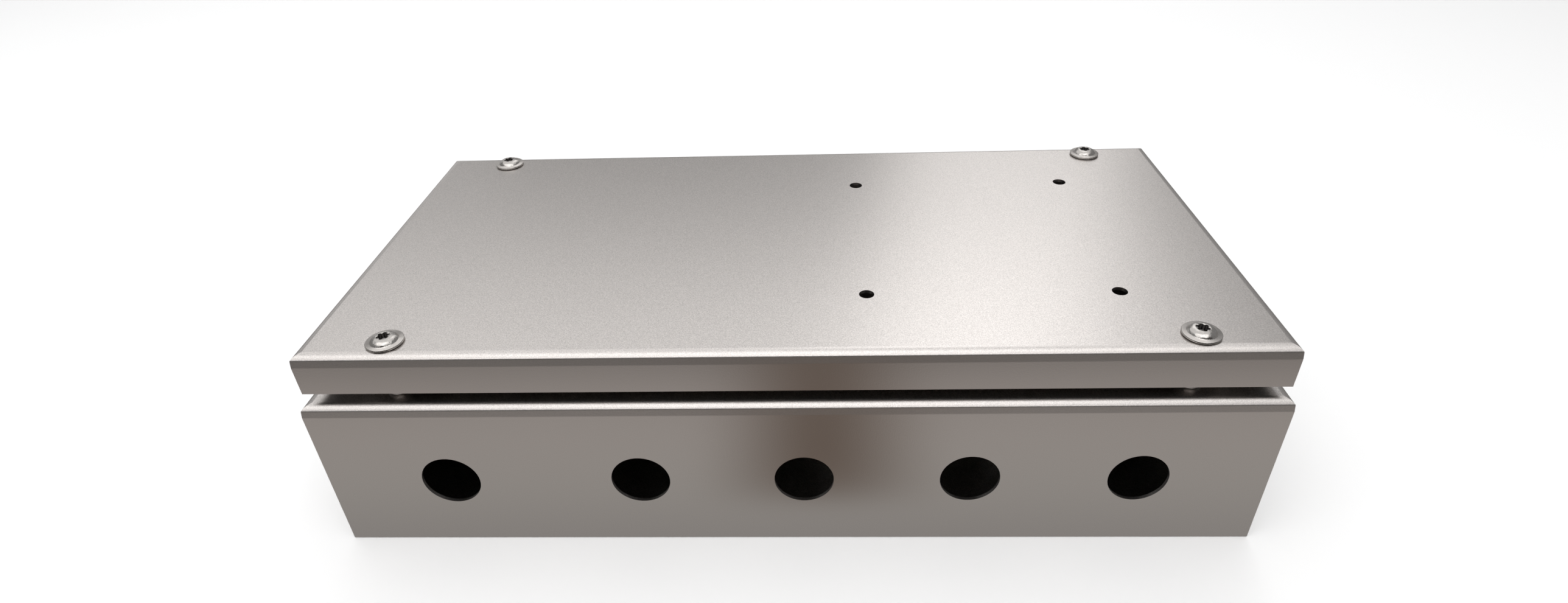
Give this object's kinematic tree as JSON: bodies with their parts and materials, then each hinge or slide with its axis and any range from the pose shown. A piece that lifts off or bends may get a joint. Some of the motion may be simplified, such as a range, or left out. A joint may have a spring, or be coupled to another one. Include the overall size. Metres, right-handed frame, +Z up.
{
  "type": "sheet metal enclosure with a screwed lid",
  "caption": "Low stainless steel enclosure with a folded lid held by button-head screws, and round cable entries along one long wall.",
  "frame": {"origin": "middle of the enclosure's underside, the face that lies on a wall or a bench", "axes": "+X along the long side towards the even run of cable entries, +Y away from the wall with the entries, +Z up through the lid"},
  "size_m": [0.32, 0.158, 0.0834],
  "materials": {
    "stainless_sheet": "satin",
    "bright_stainless": "polished",
    "turned_stainless": "turned",
    "gasket_rubber": "matt foam",
    "washer_black": "matt"
  },
  "bodies": {
    "enclosure": {"enclosure_body": "stainless_sheet", "lid_post_front_left": "turned_stainless", "lid_post_front_right": "turned_stainless", "lid_post_back_left": "turned_stainless", "lid_post_back_right": "turned_stainless", "earth_stud": "turned_stainless", "earth_toothed_washer": "turned_stainless", "earth_flat_washer": "turned_stainless", "earth_spring_washer": "turned_stainless", "earth_nut": "turned_stainless"},
    "lid": {"lid": "stainless_sheet", "lid_gasket": "gasket_rubber", "screw_washer_front_left": "washer_black", "screw_washer_front_right": "washer_black", "screw_washer_back_left": "washer_black", "screw_washer_back_right": "washer_black"},
    "screw_front_left": {"lid_screw_front_left": "bright_stainless"},
    "screw_front_right": {"lid_screw_front_right": "bright_stainless"},
    "screw_back_left": {"lid_screw_back_left": "bright_stainless"},
    "screw_back_right": {"lid_screw_back_right": "bright_stainless"}
  },
  "joints": [
    {"name": "lid_lift", "type": "slide", "parent": "enclosure", "child": "lid", "axis": [0, 0, 1], "range_m": [0, 0.12]},
    {"name": "screw_turn_front_left", "type": "hinge", "parent": "lid", "child": "screw_front_left", "pos_m": [-0.1295, -0.069, 0.08095], "axis": [0, 0, 1], "continuous": true},
    {"name": "screw_turn_front_right", "type": "hinge", "parent": "lid", "child": "screw_front_right", "pos_m": [0.1295, -0.069, 0.08095], "axis": [0, 0, 1], "continuous": true},
    {"name": "screw_turn_back_left", "type": "hinge", "parent": "lid", "child": "screw_back_left", "pos_m": [-0.1295, 0.069, 0.08095], "axis": [0, 0, 1], "continuous": true},
    {"name": "screw_turn_back_right", "type": "hinge", "parent": "lid", "child": "screw_back_right", "pos_m": [0.1295, 0.069, 0.08095], "axis": [0, 0, 1], "continuous": true}
  ]
}
